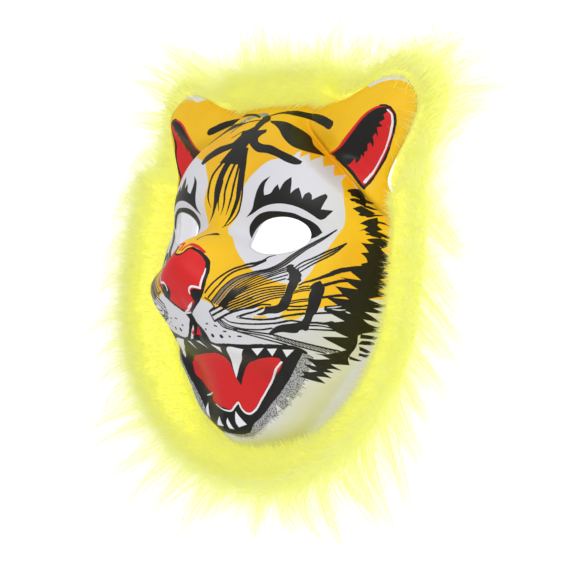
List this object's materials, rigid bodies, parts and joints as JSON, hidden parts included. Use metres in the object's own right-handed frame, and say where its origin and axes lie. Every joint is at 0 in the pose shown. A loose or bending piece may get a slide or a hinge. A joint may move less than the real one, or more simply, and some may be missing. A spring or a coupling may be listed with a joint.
{
  "type": "foam tiger mask",
  "caption": "Moulded foam tiger face mask with ears, eye holes and a fake fur trim around its edge, lying on its back.",
  "frame": {"origin": "on the table, under the middle of the mask's whole outline", "axes": "+X to the viewer's right across the face, +Y towards the top of the head, +Z out of the face; the mask lies on its back on z = 0"},
  "size_m": [0.3182, 0.3118, 0.0853],
  "materials": {
    "printed_foam": "matte printed foam",
    "fur": "long soft pile"
  },
  "bodies": {
    "root": {"foam_shell": "printed_foam", "fur_trim": "fur"}
  },
  "joints": []
}
